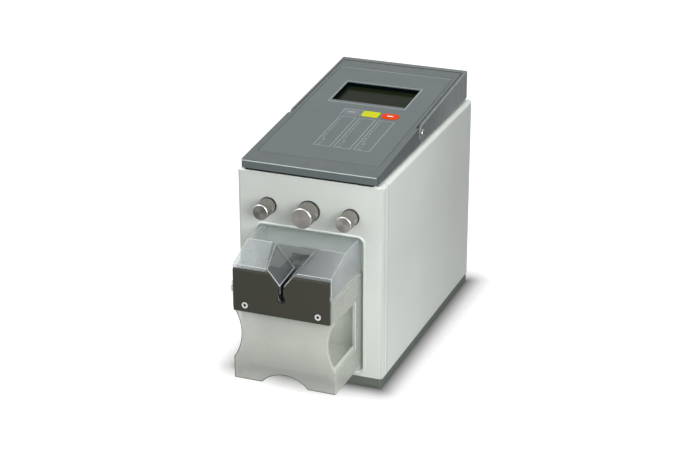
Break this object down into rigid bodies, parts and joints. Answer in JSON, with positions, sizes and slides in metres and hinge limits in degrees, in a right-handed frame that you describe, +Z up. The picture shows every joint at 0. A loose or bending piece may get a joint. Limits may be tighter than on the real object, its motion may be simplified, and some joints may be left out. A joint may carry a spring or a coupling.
{
  "type": "wire stripping machine",
  "caption": "Bench wire stripping machine with a sloped console, folding carry handle, front dials, a clear V-funnel guard hood and a pull-out chip tray.",
  "frame": {"origin": "centre of the bounding box, on the floor under the feet", "axes": "+X to the machine's left-to-right across its front, +Y to the rear, +Z up"},
  "size_m": [0.13, 0.3026, 0.2139],
  "materials": {
    "housing_paint": "satin",
    "base_paint": "satin",
    "console_moulding": "fine grain",
    "handle_moulding": "satin",
    "overlay_film": "satin film",
    "grey_key": "satin",
    "yellow_key": "satin",
    "red_key": "satin",
    "black_plastic": "satin",
    "display_glass": "gloss",
    "circuit_board": "satin",
    "turned_steel": "turned and knurled",
    "steel": "bright",
    "sheet_steel": "zinc plated",
    "aluminium": "machined",
    "blackened_steel": "black oxide",
    "black_face": "black anodised",
    "clear_plastic": "clear, slightly hazed",
    "rubber": "matte",
    "red_sensor": "satin",
    "brass_pins": "bright"
  },
  "bodies": {
    "root": {"front_panel": "housing_paint", "housing_cover": "housing_paint", "rear_panel": "housing_paint", "tray_rails": "housing_paint", "base_plinth": "base_paint", "console_shell": "console_moulding", "control_overlay": "overlay_film", "display_bezel": "black_plastic", "dial_bushes": "black_plastic", "dial_encoders": "black_plastic", "guard_switch": "black_plastic", "key_switches": "black_plastic", "wire_guide": "black_plastic", "power_inlet": "black_plastic", "switch_frame": "black_plastic", "display_glass": "display_glass", "display_board": "circuit_board", "control_board": "circuit_board", "drive_board": "circuit_board", "handle_screws": "steel", "rear_screws": "steel", "hood_pins": "steel", "guide_rods": "steel", "front_bulkhead": "sheet_steel", "rear_bulkhead": "sheet_steel", "chassis_floor": "sheet_steel", "motor_bracket": "sheet_steel", "power_supply": "sheet_steel", "head_frame": "blackened_steel", "drive_motor": "blackened_steel", "rubber_feet": "rubber", "drive_belt": "rubber", "inlet_pins": "brass_pins"},
    "handle": {"carry_handle": "handle_moulding"},
    "left_dial": {"left_knob": "turned_steel", "left_shaft": "steel", "left_set_screw": "steel"},
    "centre_dial": {"centre_knob": "turned_steel", "centre_shaft": "steel", "centre_set_screw": "steel"},
    "right_dial": {"right_knob": "turned_steel", "right_shaft": "steel", "right_set_screw": "steel"},
    "hood": {"guard_hood": "clear_plastic", "face_plate": "black_face", "plate_screws": "steel"},
    "tray": {"chip_tray": "clear_plastic"},
    "left_button": {"left_key": "grey_key"},
    "centre_button": {"centre_key": "yellow_key"},
    "right_button": {"right_key": "red_key"},
    "jaw_left": {"left_jaw": "steel"},
    "jaw_right": {"right_jaw": "steel"},
    "carriage": {"blade_carriage": "aluminium", "wire_sensor": "red_sensor"},
    "blade_left": {"left_blade": "steel"},
    "blade_right": {"right_blade": "steel"},
    "screw": {"drive_screw": "steel", "screw_pulley": "aluminium"},
    "motor_rotor": {"motor_pulley": "aluminium"},
    "rocker": {"power_rocker": "black_plastic"}
  },
  "joints": [
    {"name": "handle_fold", "type": "hinge", "parent": "root", "child": "handle", "pos_m": [0, 0.02125, 0.1953], "axis": [1, 0, 0], "range_deg": [0, 90]},
    {"name": "left_dial_turn", "type": "hinge", "parent": "root", "child": "left_dial", "pos_m": [-0.037, -0.09875, 0.1553], "axis": [0, -1, 0], "continuous": true},
    {"name": "centre_dial_turn", "type": "hinge", "parent": "root", "child": "centre_dial", "pos_m": [0, -0.09875, 0.1553], "axis": [0, -1, 0], "continuous": true},
    {"name": "right_dial_turn", "type": "hinge", "parent": "root", "child": "right_dial", "pos_m": [0.037, -0.09875, 0.1553], "axis": [0, -1, 0], "continuous": true},
    {"name": "hood_pull", "type": "slide", "parent": "root", "child": "hood", "axis": [0, -1, 0], "range_m": [0, 0.045]},
    {"name": "tray_pull", "type": "slide", "parent": "root", "child": "tray", "axis": [0, -1, 0], "range_m": [0, 0.055]},
    {"name": "left_key_press", "type": "slide", "parent": "root", "child": "left_button", "axis": [0, 0.0849, -0.9964], "range_m": [0, 0.0004], "stiffness_N_per_m": 1500, "springref_m": -0.0006},
    {"name": "centre_key_press", "type": "slide", "parent": "root", "child": "centre_button", "axis": [0, 0.0849, -0.9964], "range_m": [0, 0.0004], "stiffness_N_per_m": 1500, "springref_m": -0.0006},
    {"name": "right_key_press", "type": "slide", "parent": "root", "child": "right_button", "axis": [0, 0.0849, -0.9964], "range_m": [0, 0.0004], "stiffness_N_per_m": 1500, "springref_m": -0.0006},
    {"name": "left_jaw_close", "type": "slide", "parent": "root", "child": "jaw_left", "axis": [1, 0, 0], "range_m": [0, 0.0019]},
    {"name": "right_jaw_close", "type": "slide", "parent": "root", "child": "jaw_right", "axis": [-1, 0, 0], "range_m": [0, 0.0019]},
    {"name": "carriage_stroke", "type": "slide", "parent": "root", "child": "carriage", "axis": [0, 1, 0], "range_m": [0, 0.015]},
    {"name": "screw_turn", "type": "hinge", "parent": "root", "child": "screw", "pos_m": [0, -0.06875, 0.0743], "axis": [0, 1, 0], "range_deg": [0, 540]},
    {"name": "motor_turn", "type": "hinge", "parent": "root", "child": "motor_rotor", "pos_m": [0, -0.01875, 0.036], "axis": [0, 1, 0], "range_deg": [0, 1080]},
    {"name": "left_blade_close", "type": "slide", "parent": "carriage", "child": "blade_left", "axis": [1, 0, 0], "range_m": [0, 0.0019]},
    {"name": "right_blade_close", "type": "slide", "parent": "carriage", "child": "blade_right", "axis": [-1, 0, 0], "range_m": [0, 0.0019]},
    {"name": "rocker_tip", "type": "hinge", "parent": "root", "child": "rocker", "pos_m": [-0.03, 0.14408, 0.036], "axis": [1, 0, 0], "range_deg": [-20, 0]}
  ],
  "couplings": [
    {"joint": "right_jaw_close", "follows": "left_jaw_close", "ratio": 1},
    {"joint": "right_blade_close", "follows": "left_blade_close", "ratio": 1},
    {"joint": "screw_turn", "follows": "carriage_stroke", "rad_per_m": 628.3},
    {"joint": "motor_turn", "follows": "carriage_stroke", "rad_per_m": 1256.6}
  ]
}
